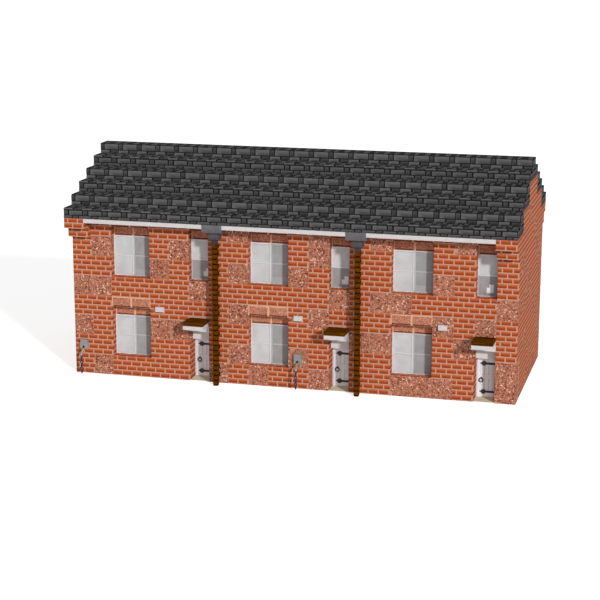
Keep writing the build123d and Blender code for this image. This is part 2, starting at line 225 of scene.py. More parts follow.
def less(first, second):
    """What the first value or socket has more than the second."""
    return work_out("SUBTRACT", first, second)


def ramp(value, low, high, from_value=0.0, to_value=1.0):
    """Smooth step of a socket between two limits."""
    limits = {"Value": value, "From Min": low, "From Max": high, "To Min": from_value, "To Max": to_value}
    return join("MapRange", limits, interpolation_type="SMOOTHSTEP").outputs[0]


def fade(value, reach):
    """One where a socket is nothing, and nothing from the reach on."""
    return join("MapRange", {"Value": value, "From Max": reach, "To Min": 1.0, "To Max": 0.0}).outputs[0]


def mix_colour(factor, first, second, blend="MIX"):
    """Mix of two colours."""
    return join("Mix", {0: factor, 6: first, 7: second}, data_type="RGBA", blend_type=blend).outputs[2]


def lay_over(base, *layers):
    """Colour with shades laid over it one by one, each where a mask shows, by a share."""
    for mask, share, shade in layers:
        base = mix_colour(times(mask, share), base, shade)
    return base


def object_place(tree):
    """Place on the object, in metres."""
    return add_node(tree, "TexCoord").outputs["Object"]


def stretched(place, stretch):
    """Place with its axes stretched."""
    return join("VectorMath", {0: place, 1: stretch}, operation="MULTIPLY").outputs[0]


def axes(place):
    """The three parts of a place."""
    return join("SeparateXYZ", {0: place}).outputs


def block_axes(tree):
    """How far along and how far up its block a place lies, each from 0 to 1."""
    return axes(add_node(tree, "UVMap", uv_map="block").outputs[0])


def noise(place, scale, detail, **more):
    """Noise texture at a place."""
    return join("TexNoise", {"Vector": place, "Scale": scale, "Detail": detail, **more}).outputs


def new_effect(name, inputs):
    """Shader node group with named inputs: its tree and its input sockets."""
    tree = bpy.data.node_groups.new(name, "ShaderNodeTree")
    for socket, value in inputs.items():
        kind = "NodeSocketFloat" if isinstance(value, float) else "NodeSocketVector"
        tree.interface.new_socket(socket, in_out="INPUT", socket_type=kind).default_value = value
    return tree, tree.nodes.new("NodeGroupInput").outputs


def end_effect(tree, results):
    """Give a shader node group its named outputs."""
    for name in results:
        tree.interface.new_socket(name, in_out="OUTPUT", socket_type="NodeSocketFloat")
    end = tree.nodes.new("NodeGroupOutput")
    for name, value in results.items():
        fill(end.inputs[name], value)
    return tree


def use_effect(tree, effect, **values):
    """Place an effect in a material, with underscores in its inputs' names for spaces."""
    made = tree.nodes.new("ShaderNodeGroup")
    made.node_tree = effect
    for socket, value in values.items():
        fill(made.inputs[socket.replace("_", " ")], value)
    return made.outputs


# ---------------- effects shared by the materials
def make_grain():
    """Fine surface grain over broader patches."""
    tree, given = new_effect("grain", {"Fine": 60.0, "Broad": 3.0, "Stretch": (1.0, 1.0, 1.0)})
    place = stretched(object_place(tree), given["Stretch"])
    fine = noise(place, given["Fine"], 4.0, Roughness=0.65)[0]
    broad = noise(place, given["Broad"], 3.0)[0]
    masks = {"Fine Mask": ramp(fine, 0.3, 0.7), "Broad Mask": ramp(broad, 0.3, 0.7)}
    return end_effect(tree, {**masks, "Height": plus(times(fine, 0.7), broad)})


def make_block_light():
    """Masks for a laid block: how it differs from its neighbours in tone, a painted highlight along its
    upper edge and its left one (unless Left Edge is nothing), painted shade along its foot, in its lower
    corners and at its ends, and how far up it a place lies.
    """
    tree, given = new_effect("block_light", {"Softness": 0.25, "End Softness": 0.1, "Left Edge": 1.0})
    tone = add_node(tree, "Attribute", attribute_name="tone", attribute_type="GEOMETRY").outputs["Fac"]
    along, up, _ = block_axes(tree)
    near_end = work_out("MINIMUM", along, less(1.0, along))
    # Painted shade along the foot and in the lower corners
    shaded_corner = work_out("MINIMUM", up, plus(times(near_end, 2.5), times(up, 0.6)))
    # Painted highlight along the upper edge, and along the left edge as Left Edge asks
    left = plus(times(along, 2.0), times(less(1.0, given["Left Edge"]), 9.0))
    upper = work_out("MINIMUM", less(1.0, up), left)
    results = {
        "Tone": tone,
        "Highlight Edge": fade(upper, given["Softness"]),
        "Shaded Lower Edge": fade(shaded_corner, given["Softness"]),
        # painted shade at both ends
        "Shaded Ends": fade(near_end, given["End Softness"]),
        "Up": up,
    }
    return end_effect(tree, results)


def make_crystals():
    """Granite: flecks of three minerals, as masks for the dark and the pale ones."""
    tree, given = new_effect("crystals", {"Size": 0.09, "Dark Share": 0.25, "Pale Share": 0.15})
    place = object_place(tree)
    warp = {0: noise(place, 14.0, 2.0)["Color"], 1: (0.03, 0.03, 0.03), 2: place}
    warped = join("VectorMath", warp, operation="MULTIPLY_ADD").outputs[0]
    scale = work_out("DIVIDE", 1.0, given["Size"])
    cells = join("TexVoronoi", {"Vector": warped, "Scale": scale, "Randomness": 1.0}).outputs
    lot = join("SeparateColor", {0: cells["Color"]}).outputs
    dark = work_out("LESS_THAN", lot[0], given["Dark Share"])
    pale = work_out("GREATER_THAN", lot[0], less(1.0, given["Pale Share"]))
    height = less(1.0, cells["Distance"])
    return end_effect(tree, {"Dark": dark, "Pale": pale, "Shade": lot[1], "Height": height})


def make_timber_grain():
    """Long grain lines along one axis, which the stretch makes long."""
    tree, given = new_effect("timber_grain", {"Stretch": (1.0, 12.0, 12.0)})
    place = stretched(object_place(tree), given["Stretch"])
    line = noise(place, 2.2, 6.0, Roughness=0.7, Distortion=0.4)[0]
    shade = noise(place, 0.5, 2.0)[0]
    return end_effect(tree, {"Line": ramp(line, 0.35, 0.65), "Board Shade": ramp(shade, 0.35, 0.65)})


def make_weathering():
    """Soot and splashes: darker near the ground and in streaks that run down."""
    tree, given = new_effect("weathering", {"Splash Height": 0.6, "Streaks": 0.5})
    place = object_place(tree)
    run = noise(stretched(place, (3.0, 3.0, 0.25)), 1.0, 5.0, Roughness=0.6)[0]
    streak = times(ramp(run, 0.5, 0.75), given["Streaks"])
    spots = ramp(noise(place, 6.0, 4.0)[0], 0.35, 0.7)
    splash = times(fade(axes(place)[2], given["Splash Height"]), spots)
    return end_effect(tree, {"Grime": work_out("MAXIMUM", streak, splash)})


grain = make_grain()
block_light = make_block_light()
crystals = make_crystals()
timber_grain = make_timber_grain()
weathering = make_weathering()


# ---------------- materials
def new_material(name, roughness, metallic=0.0):
    """New material and its tree."""
    made = bpy.data.materials.new(name)
    made.use_nodes = True
    sockets = made.node_tree.nodes["Principled BSDF"].inputs
    sockets["Roughness"].default_value = roughness
    sockets["Metallic"].default_value = metallic
    sockets["Specular IOR Level"].default_value = 0.0
    return made, made.node_tree


def finish_material(made, base, relief=None, rough=None, alpha=None):
    """Fill a material: colour, relief as height, strength and distance, the rest as mask, low and high."""
    sockets = made.node_tree.nodes["Principled BSDF"].inputs
    fill(sockets["Base Color"], base)
    for name, spread in (("Roughness", rough), ("Alpha", alpha)):
        if spread:
            mask, low, high = spread
            fill(sockets[name], ramp(mask, 0.0, 1.0, low, high))
    if relief:
        bump = join("Bump", dict(zip(("Height", "Strength", "Distance"), relief)))
        fill(sockets["Normal"], bump.outputs[0])
    return made


def make_brick(name, low, high, upper):
    """Hard red brick, each a shade of its own, with a painted highlight along its upper edge and painted
    shade in its lower corners and at its ends.
    """
    made, tree = new_material(name, 0.85)
    light = use_effect(tree, block_light, Softness=0.5, End_Softness=0.12, Left_Edge=0.0)
    speck = use_effect(tree, grain, Fine=70.0, Broad=7.0)
    grime = use_effect(tree, weathering, Splash_Height=0.5, Streaks=0.25)["Grime"]
    base = lay_over(
        mix_colour(light["Tone"], low, high),
        # Painted highlight along the upper edge, then painted shade in the lower corners and at the ends
        (light["Highlight Edge"], 0.8, upper),
        (light["Shaded Lower Edge"], 0.5, (100, 42, 12)),
        (light["Shaded Ends"], 0.3, (110, 50, 20)),
        (speck["Fine Mask"], 0.18, (120, 60, 38)),
        (grime, 0.3, (92, 60, 45)),
    )
    return finish_material(made, base, (speck["Height"], 0.5, 0.006), (speck["Broad Mask"], 0.75, 0.92))


def make_mortar():
    """Pink lime mortar outside, and pale plaster on the faces that look into a room."""
    made, tree = new_material("lime_mortar", 0.92)
    speck = use_effect(tree, grain, Fine=90.0, Broad=5.0)
    grime = use_effect(tree, weathering, Splash_Height=0.5, Streaks=0.3)["Grime"]
    base = mix_colour(speck["Fine Mask"], (188, 138, 118), (202, 152, 132))
    base = lay_over(base, (grime, 0.35, (130, 95, 82)))
    x, y, _ = axes(object_place(tree))
    middle_x, slack = house_lefts[1] + (house_pitch + wall_thickness) / 2, 0.005
    from_middle = work_out("PINGPONG", less(x, middle_x), house_pitch / 2)
    within_sides = work_out("LESS_THAN", from_middle, (house_pitch - wall_thickness) / 2 + slack)
    within_depth = work_out("LESS_THAN", work_out("ABSOLUTE", y), rear_y - wall_thickness + slack)
    plaster = mix_colour(speck["Broad Mask"], (214, 208, 198), (226, 221, 212))
    base = mix_colour(times(within_sides, within_depth), base, plaster)
    return finish_material(made, base, (speck["Height"], 0.4, 0.004))


def make_granite(name, size, roughness, pink, dark, pale, shares, relief, foot):
    """Pink granite with dark and cream crystals of a given size, and painted shade along its foot by a
    share.
    """
    made, tree = new_material(name, roughness)
    light = use_effect(tree, block_light, Softness=0.14)
    dark_share, pale_share = shares
    finer, fewer = 0.4, 0.8
    flecks = use_effect(tree, crystals, Size=size, Dark_Share=dark_share, Pale_Share=pale_share)
    fine = use_effect(
        tree, crystals, Size=size * finer, Dark_Share=dark_share * fewer, Pale_Share=pale_share * fewer
    )
    base = lay_over(
        mix_colour(flecks["Shade"], *pink),
        (fine["Dark"], 0.45, dark),
        (fine["Pale"], 0.5, pale),
        (flecks["Dark"], 0.8, dark),
        (flecks["Pale"], 0.8, pale),
        (light["Tone"], 0.12, pink[1]),
        # Painted shade along the foot of the block
        (ramp(light["Up"], 0.16, 0.08), foot, (84, 34, 18)),
    )
    rough = (flecks["Shade"], roughness - 0.1, roughness + 0.1)
    return finish_material(made, base, (flecks["Height"], relief, 0.008), rough)


def make_slate():
    """Riven slate with fine ridges, and a painted highlight on its upper and left edges that grows with its
    tone.
    """
    made, tree = new_material("riven_slate", 0.7)
    light = use_effect(tree, block_light, Softness=0.8)
    speck = use_effect(tree, grain, Fine=30.0, Broad=4.0, Stretch=(1.0, 2.5, 2.5))
    base = lay_over(
        mix_colour(light["Tone"], (28, 27, 28), (84, 83, 84)),
        # Painted highlight on the upper and left edges, stronger on the paler slates
        (times(light["Highlight Edge"], light["Tone"]), 0.66, (128, 127, 128)),
        (speck["Fine Mask"], 0.2, (52, 52, 56)),
        (ramp(speck["Broad Mask"], 0.75, 1.0), 0.12, (104, 106, 96)),
    )
    return finish_material(made, base, (speck["Height"], 0.6, 0.008), (speck["Fine Mask"], 0.6, 0.85))


def make_plain(name, low, high, roughness, fine=60.0, relief=0.3, metallic=0.0, dirt=0.25):
    """Finish between two shades, with fine grain, a little relief and grime near the ground."""
    made, tree = new_material(name, roughness, metallic)
    speck = use_effect(tree, grain, Fine=fine, Broad=4.0)
    grime = use_effect(tree, weathering, Splash_Height=0.4, Streaks=0.35)["Grime"]
    shade = plus(times(speck["Fine Mask"], 0.5), times(speck["Broad Mask"], 0.5))
    base = mix_colour(shade, low, high)
    base = lay_over(base, (grime, dirt, mix_colour(1.0, base, (195.68, 187.52, 177.06), "MULTIPLY")))
    rough = (speck["Broad Mask"], max(0.05, roughness - 0.08), min(1.0, roughness + 0.08))
    return finish_material(made, base, (speck["Height"], relief, 0.004), rough)


def make_timber(name, low, high, roughness, stretch, relief=0.5, recess=None):
    """Timber between two shades, with its grain along the axis that the stretch leaves long."""
    made, tree = new_material(name, roughness)
    lines = use_effect(tree, timber_grain, Stretch=stretch)
    tone = use_effect(tree, block_light, Softness=0.1)["Tone"]
    shade = plus(times(lines["Line"], 0.6), times(lines["Board Shade"], 0.4))
    base = mix_colour(shade, low, high)
    base = mix_colour(tone, recess, base) if recess else lay_over(base, (tone, 0.35, high))
    rough = (lines["Line"], roughness - 0.08, roughness + 0.1)
    return finish_material(made, base, (lines["Line"], relief, 0.003), rough)


def make_door_boards_finish():
    """White paint on upright boards, with painted shade where one board meets the next and in their lower
    corners.
    """
    made, tree = new_material("door_boards", 0.65)
    lines = use_effect(tree, timber_grain, Stretch=(14.0, 14.0, 1.0))
    light = use_effect(tree, block_light, Softness=0.13)
    base = lay_over(
        mix_colour(lines["Line"], (226, 236, 240), (240, 248, 250)),
        # Painted shade at the board joints, then lighter painted shade in the lower corners
        (light["Shaded Ends"], 0.55, (128, 126, 132)),
        (light["Shaded Lower Edge"], 0.15, (128, 126, 128)),
    )
    return finish_material(made, base, (lines["Line"], 0.3, 0.003), (lines["Line"], 0.58, 0.72))


def make_hopper_iron():
    """Grey iron that darkens down the tiers of the hoppers."""
    made, tree = new_material("hopper_iron", 0.6)
    speck = use_effect(tree, grain, Fine=30.0, Broad=3.0)
    height = axes(object_place(tree))[2]
    down = join("MapRange", {"Value": height, "From Min": eaves_z, "From Max": eaves_z - 1.0}).outputs[0]
    base = mix_colour(speck["Broad Mask"], (106, 104, 107), (118, 115, 118))
    base = mix_colour(down, base, (58, 54, 60))
    return finish_material(made, base, (speck["Height"], 0.3, 0.004), (speck["Fine Mask"], 0.5, 0.7))


def make_glazing_paint():
    """White paint on the glazing bars, with painted shade on the bars of the obscured half of each wide
    window.
    """
    made, tree = new_material("glazing_paint", 0.4)
    tone = use_effect(tree, block_light, Softness=0.1)["Tone"]
    speck = use_effect(tree, grain, Fine=40.0, Broad=3.0)
    # Tone 1 gives lit white paint, tone 0 painted shade
    base = mix_colour(tone, (178, 178, 180), (212, 210, 212))
    base = lay_over(base, (speck["Broad Mask"], 0.15, (222, 220, 220)))
    return finish_material(made, base, (speck["Height"], 0.1, 0.002))


def make_spout_finish():
    """Worn brass of the tap spouts, dark at the wall, with a grey nozzle and a dark eye at the lower end."""
    made, tree = new_material("worn_brass", 0.45, metallic=0.4)
    speck = use_effect(tree, grain, Fine=30.0, Broad=4.0)
    height = axes(object_place(tree))[2]
    low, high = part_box("tap_spouts")
    dark, nozzle, eye = high.z - 0.12, low.z + 0.34, low.z + 0.17
    base = mix_colour(speck["Broad Mask"], (142, 120, 66), (190, 170, 106))
    base = mix_colour(ramp(height, dark, dark + 0.03), base, (70, 52, 28))
    base = mix_colour(ramp(height, nozzle, nozzle - 0.01), base, (158, 156, 156))
    base = mix_colour(ramp(height, eye, eye - 0.01), base, (52, 50, 74))
    return finish_material(made, base, (speck["Height"], 0.2, 0.002))


def make_window_paint():
    """White paint on the window frames, with painted shade on the frames round the obscured panes."""
    made, tree = new_material("window_paint", 0.4)
    speck = use_effect(tree, grain, Fine=40.0, Broad=4.0)
    x, _, z = axes(object_place(tree))
    across = work_out("FLOORED_MODULO", less(x, house_lefts[0]), house_pitch)
    up = work_out("FLOORED_MODULO", z, upper_floor_z)
    wide_right = work_out("GREATER_THAN", across, window_left + window_width / 2)
    narrow = work_out("GREATER_THAN", across, window_left + window_width + frame_width)
    high = work_out("GREATER_THAN", up, sills[0] + window_height / 2)
    # Painted shade round the obscured panes: the right half of each wide window and the lower half of each
    # narrow one
    shaded_frame = times(wide_right, less(1.0, times(narrow, high)))
    base = mix_colour(speck["Broad Mask"], (210, 208, 209), (222, 220, 221))
    base = mix_colour(shaded_frame, base, (186, 183, 184))
    return finish_material(made, base, (speck["Height"], 0.1, 0.002))


def make_clear_glass():
    """Clear pane that tints what is behind it."""
    made, tree = new_material("clear_pane", 0.08)
    speck = use_effect(tree, grain, Fine=8.0, Broad=1.2)
    base = mix_colour(speck["Broad Mask"], (218, 220, 221), (232, 233, 235))
    return finish_material(made, base, alpha=(speck["Broad Mask"], 0.4, 0.46))


def make_obscured_glass():
    """Grey obscured pane with soft diagonal streaks of painted reflection, and a paler lower band where its
    tone asks for one.
    """
    made, tree = new_material("obscured_pane", 0.3)
    speck = use_effect(tree, grain, Fine=14.0, Broad=2.0)
    light = use_effect(tree, block_light, Softness=0.1)
    along, up, _ = block_axes(tree)
    # Painted reflection: two soft diagonal streaks near the upper left, fading towards the lower right
    slant = plus(along, less(1.0, up))
    first = ramp(work_out("ABSOLUTE", less(slant, 0.42)), 0.05, 0.0)
    second = ramp(work_out("ABSOLUTE", less(slant, 0.6)), 0.09, 0.0)
    streak = times(work_out("MAXIMUM", first, second), times(ramp(slant, 0.8, 0.45), 0.3))
    band = times(light["Tone"], ramp(light["Up"], 0.34, 0.28))
    base = mix_colour(speck["Broad Mask"], (156, 154, 155), (167, 165, 166))
    base = lay_over(mix_colour(streak, base, (186, 186, 184)), (band, 0.6, (184, 182, 184)))
    return finish_material(made, base, (speck["Height"], 0.1, 0.002), alpha=(speck["Fine Mask"], 0.86, 0.92))


def make_blind():
    """Closely woven blind cloth."""
    made, tree = new_material("blind_cloth", 0.9)
    yarn = {"Vector": object_place(tree), "Scale": 40.0, "Distortion": 0.3}
    warp, weft = (join("TexWave", yarn, bands_direction=way).outputs["Fac"] for way in ("X", "Z"))
    weave = times(warp, weft)
    speck = use_effect(tree, grain, Fine=20.0, Broad=2.5)
    base = mix_colour(speck["Broad Mask"], (213, 214, 215), (219, 220, 222))
    base = lay_over(base, (weave, 0.1, (190, 188, 186)))
    return finish_material(made, base, (weave, 0.3, 0.002))


# The last colour given to make_brick is the painted highlight on the bricks' upper edges.
brick = make_brick("facing_brick", (173, 79, 28), (176, 72, 37), (208, 122, 84))
# The gables' brick is a paler copy of the facing brick: painted light, making up for the weaker light that
# falls on the gables.
gable_brick = make_brick("gable_facing_brick", (178, 92, 50), (180, 86, 56), (208, 130, 98))
mortar = make_mortar()
pointing = make_plain("lintel_pointing", (214, 160, 126), (226, 174, 140), 0.92, fine=90.0, relief=0.4)
facing_pinks = ((152, 88, 66), (194, 132, 108))
facing_granite = make_granite(
    "facing_granite", 0.06, 0.85, facing_pinks, (82, 34, 22), (242, 202, 170), (0.17, 0.055), 0.5, foot=0.0
)
# The dressed lintel blocks carry painted shade along their feet.
dressed_pinks = ((178, 112, 88), (190, 128, 104))
dressed_granite = make_granite(
    "dressed_granite", 0.045, 0.5, dressed_pinks, (140, 80, 60), (216, 164, 138), (0.2, 0.1), 0.15, foot=0.9
)
slate = make_slate()
slate_bed = make_plain("slate_bedding", (26, 25, 26), (42, 41, 42), 0.9, relief=0.5)
white_paint = make_plain("white_paint", (202, 196, 196), (214, 208, 208), 0.45, fine=40.0, relief=0.12)
window_paint = make_window_paint()
frame_paint = make_plain("frame_paint", (196, 197, 201), (208, 209, 213), 0.4, fine=40.0, relief=0.1)
render_paint = make_plain("painted_stone", (204, 202, 198), (218, 216, 212), 0.75, fine=35.0, relief=0.35)
sandstone = make_plain("sawn_sandstone", (228, 224, 196), (240, 236, 210), 0.85, fine=50.0, relief=0.3)
hopper_iron = make_hopper_iron()
glazing_paint = make_glazing_paint()
tap_iron = make_plain("tap_plate_iron", (128, 128, 130), (160, 160, 160), 0.5, fine=22.0, relief=0.4)
alarm_plastic = make_plain("alarm_plastic", (202, 194, 195), (213, 205, 206), 0.4, fine=120.0, relief=0.05)
spout_finish = make_spout_finish()
chain_steel = make_plain("dark_steel", (44, 44, 66), (68, 66, 90), 0.45, fine=60.0, relief=0.2, metallic=0.4)
black_iron = make_plain("black_iron", (50, 52, 54), (72, 74, 76), 0.6, fine=45.0, relief=0.4)
boss_iron = make_plain("boss_iron", (66, 64, 66), (90, 87, 89), 0.6, fine=45.0, relief=0.4)
china = make_plain("white_china", (222, 223, 220), (232, 233, 230), 0.2, fine=10.0, relief=0.02, dirt=0.0)
floor_boards = make_timber("floor_boards", (128, 92, 60), (160, 120, 82), 0.6, (12.0, 1.0, 12.0))
canopy_timber = make_timber("canopy_timber", (20, 5, 0), (110, 63, 5), 0.7, (1.2, 14.0, 14.0))
pipe_timber = make_timber("pipe_paint", (66, 36, 0), (106, 64, 4), 0.6, (9.0, 9.0, 5.0), recess=(48, 12, 0))
bracket_iron = make_timber("bracket_paint", (50, 24, 0), (96, 54, 3), 0.6, (9.0, 9.0, 3.0))
door_boards = make_door_boards_finish()
door_paint = make_timber("door_stiles", (228, 230, 238), (240, 241, 248), 0.55, (14.0, 14.0, 1.0), 0.25)
clear_pane = make_clear_glass()
obscured_pane = make_obscured_glass()
blind_cloth = make_blind()


# ---------------- making pieces
def set_material(made, material):
    """Give an object one material."""
    made.data.materials.clear()
    made.data.materials.append(material)


def finish_piece(made, material, slot, body="house", replaced=()):
    """Give a piece its finish, the body that it rides on and the CAD nodes that it stands for."""
    set_material(made, material)
    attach(made, body)
    if replaced:
        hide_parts(*replaced)
    return made


def make_block_pattern(edge):
    """Bevelled block two metres across, to be stretched: its vertices, its faces and their UVs."""
    bpy.ops.mesh.primitive_cube_add(size=2)
    block = bpy.context.active_object
    bevel = block.modifiers.new("edges", "BEVEL")
    bevel.width = edge
    bevel.segments = 1
    bpy.ops.object.modifier_apply(modifier="edges")
    points = np.array([vertex.co for vertex in block.data.vertices])
    faces = [tuple(face.vertices) for face in block.data.polygons]
    spots = []
    for face in block.data.polygons:
        across = max(range(3), key=lambda axis: abs(face.normal[axis]))
        turned = (face.normal.x < 0, face.normal.y > 0, False)[across]
        u_axis, v_axis = ((1, 2), (0, 2), (0, 1))[across]
        for corner in face.vertices:
            u = (points[corner][u_axis] + 1) / 2
            spots.append((1 - u if turned else u, (points[corner][v_axis] + 1) / 2))
    bpy.data.objects.remove(block)
    return points, faces, np.array(spots)


def lay_blocks(name, boxes, material, slot, edge=brick_edge, tones=None, **ride):
    """One piece made of many bevelled blocks, each stretched to its box while its edges keep their width."""
    points, faces, spots = make_block_pattern(edge)
    low, high = np.array([box[0] for box in boxes]), np.array([box[1] for box in boxes])
    reach = (high - low)[:, None, :] / 2 - (1 - np.abs(points))[None]
    placed = (high + low)[:, None, :] / 2 + np.sign(points)[None] * reach
    firsts = range(0, len(boxes) * len(points), len(points))
    every_face = [tuple(corner + first for corner in face) for first in firsts for face in faces]
    mesh = bpy.data.meshes.new(name)
    mesh.from_pydata(placed.reshape(-1, 3), [], every_face)
    mesh.uv_layers.new(name="block").data.foreach_set("uv", np.tile(spots, (len(boxes), 1)).ravel())
    if tones is None:
        chance = random.Random(name)
        tones = [chance.random() for _ in boxes]
    tone = mesh.attributes.new("tone", "FLOAT", "FACE")
    tone.data.foreach_set("value", np.repeat(np.array(tones, np.float32), len(faces)))
    made = bpy.data.objects.new(name, mesh)
    bpy.context.scene.collection.objects.link(made)
    return finish_piece(made, material, slot, **ride)


# ---------------- brickwork
class Face:
    """Upright face of a wall: the axis that it looks along, its plane and which way is out."""

    def __init__(self, axis, plane, outward):
        self.axis, self.plane, self.outward = axis, plane, outward

    def box(self, start, end, bottom, top, depth, relief=brick_relief):
        """Box on the face from start to end, which stands proud of it and reaches into the wall."""
        near, far = sorted((self.plane + self.outward * relief, self.plane - self.outward * depth))
        if self.axis == "y":
            return (start, near, bottom), (end, far, top)
        return (near, start, bottom), (far, end, top)

    def behind(self, near, far):
        """The two planes that lie so far behind the face, in order along its axis."""
        return sorted((self.plane - self.outward * near, self.plane - self.outward * far))


front = Face("y", front_y, -1)
rear = Face("y", rear_y, 1)
left_gable = Face("x", gable_left, -1)
right_gable = Face("x", gable_right, 1)


def course_feet(bottom, top):
    """Foot and number of each course between two heights."""
    return [(number * course, number) for number in range(round(bottom / course), round(top / course))]


def brick_heights(foot):
    """Lower and upper edge of the bricks of a course."""
    return foot + brick_foot, foot + brick_foot + brick_height


def clear_runs(start, end, foot, gaps):
    """Stretches of a course that no opening or stone takes, each with whether its ends stand free."""
    middle = foot + course / 2
    here = sorted(gap for gap in gaps if gap[2] < middle < gap[3] and start < gap[1] and gap[0] < end)
    runs, reached, free = [], start, True
    for left, right, _, _, is_open in here:
        if left > reached + least_run:
            runs.append((reached, left, free, is_open))
        reached, free = right, is_open
    if reached < end - least_run:
        runs.append((reached, end, free, True))
    return runs


def bricks_between(start, end, first_joint, free_start=False, free_end=False):
    """Spans of the bricks in a run, on the bond whose perpends start at first_joint."""
    joint = first_joint + math.floor((start - first_joint) / bond) * bond
    spans = []
    while joint < end:
        left = max(start, joint + perpend_width / 2)
        right = min(end, joint + bond - perpend_width / 2)
        if right - left > least_brick:
            left -= brick_relief if left == start and free_start else 0
            right += brick_relief if right == end and free_end else 0
            spans.append((left, right))
        joint += bond
    return spans


def lay_course(face, start, end, foot, number, gaps=()):
    """Boxes of the bricks of one course on a face."""
    odd = number % 2
    return [
        face.box(left, right, *brick_heights(foot), corner_depths[odd])
        for run_start, run_end, *free_ends in clear_runs(start, end, foot, gaps)
        for left, right in bricks_between(run_start, run_end, first_joints[odd], *free_ends)
    ]


def turned_corner(number, right_end):
    """How far round a corner the next brick starts. At a right end, no brick of an even course turns it."""
    return open_corner if right_end and number % 2 == 0 else corner_depths[number % 2] + corner_gap


def window_openings(side, house_left):
    """Left, width and sill of each window of a house, on the front (-1) or the rear (1)."""
    narrow_left, narrow_sills = (door_left, sills[1:]) if side < 0 else (rear_narrow_left, sills)
    wide = [(house_left + window_left, window_width, sill) for sill in sills]
    return wide + [(house_left + narrow_left, door_width, sill) for sill in narrow_sills]


def front_gaps(side):
    """What interrupts the front (-1) or rear (1) bricks: left, right, bottom, top and whether it is open."""
    gaps = []
    for house_left in house_lefts:
        for left, width, sill in window_openings(side, house_left):
            nose = sill + window_height + head_nose_height
            gaps.append((left, left + width, sill, nose, True))
            gaps.append((left, left + width, nose, sill + window_height + head_height, False))
        if side < 0:
            left, nose = house_left + door_left, door_height + head_nose_height
            gaps.append((left, left + door_width, 0, nose, True))
            gaps.append((left, left + door_width, nose, door_height + head_height + course, False))
    for foot, cells in (front_granite if side < 0 else rear_granite).items():
        gaps += [(row_left + cell, row_left + cell + metre, foot, foot + metre, False) for cell in cells]
    return gaps


def gable_gaps(gable):
    """Stones that interrupt a gable's brickwork, with the corner blocks that turn onto it."""
    corner = 0 if gable is left_gable else last_cell
    cells = [(cell, foot) for foot, row in gable_granite.items() for cell in row]
    for cell, blocks in ((0, front_granite), (last_gable_cell, rear_granite)):
        cells += [(cell, foot) for foot, row in blocks.items() if corner in row]
    return [(front_y + cell, front_y + cell + metre, foot, foot + metre, False) for cell, foot in cells]


def lay_fronts():
    """Bricks of the front and rear walls, course by course, with the corbels at the ends."""
    sunk = brick_relief - gable_relief
    wall_left, wall_right = gable_left + sunk, gable_right - sunk
    inner_left, inner_right = row_left + wall_thickness, row_right - wall_thickness
    for face, name, side in ((front, "front_bricks", -1), (rear, "rear_bricks", 1)):
        gaps = front_gaps(side)
        boxes = []
        for foot, number in course_feet(0, eaves_z):
            left, right = wall_left, wall_right
            if foot >= corbels[0][0]:
                left, right = inner_left, inner_right
            boxes += lay_course(face, left, right, foot, number, gaps)
        for step, (bottom, top) in enumerate(corbels, 1):
            stand = (gable_reach - rear_y) * step / 2
            corbel_face = Face("y", side * (rear_y + stand), side)
            for foot, number in course_feet(bottom, top):
                for left, right in ((wall_left, inner_left), (inner_right, wall_right)):
                    boxes += lay_course(corbel_face, left, right, foot, number)
                for inner in (Face("x", inner_left, 1), Face("x", inner_right, -1)):
                    clear = stand - turned_corner(number, inner.outward > 0)
                    if clear > least_brick:
                        start, end = sorted((side * rear_y, side * (rear_y + clear)))
                        boxes += lay_course(inner, start, end, foot, number)
        lay_blocks(name, boxes, brick, "red_brick")


def lay_gables():
    """Bricks of the gables, which follow the corbels and the stepped top."""
    steps = (  # foot, head and half width of each
        (0, corbels[0][0], rear_y),
        (*corbels[0], (rear_y + gable_reach) / 2),
        (*corbels[1], gable_reach),
        (8.0, 9.0, rear_y - wall_thickness),
        (9.0, 10.0, rear_y - 3 * wall_thickness),
    )
    for gable, name in ((left_gable, "left_gable_bricks"), (right_gable, "right_gable_bricks")):
        gaps = gable_gaps(gable)
        boxes = []
        joints = [front_y + joint for joint in first_joints]
        for bottom, top, half in steps:
            for foot, number in course_feet(bottom, top):
                corner = turned_corner(number, gable is right_gable)
                start, end = -half + corner, half - corner - perpend_width
                if foot >= eaves_z:
                    start, end = -half + gable_relief, half - gable_relief
                boxes += [
                    gable.box(left, right, *brick_heights(foot), reveal_depth, gable_relief)
                    for run_start, run_end, *_ in clear_runs(start, end, foot, gaps)
                    for left, right in bricks_between(run_start, run_end, joints[number % 2])
                ]
        lay_blocks(name, boxes, gable_brick, "gable_brick", edge=gable_relief + 0.001)


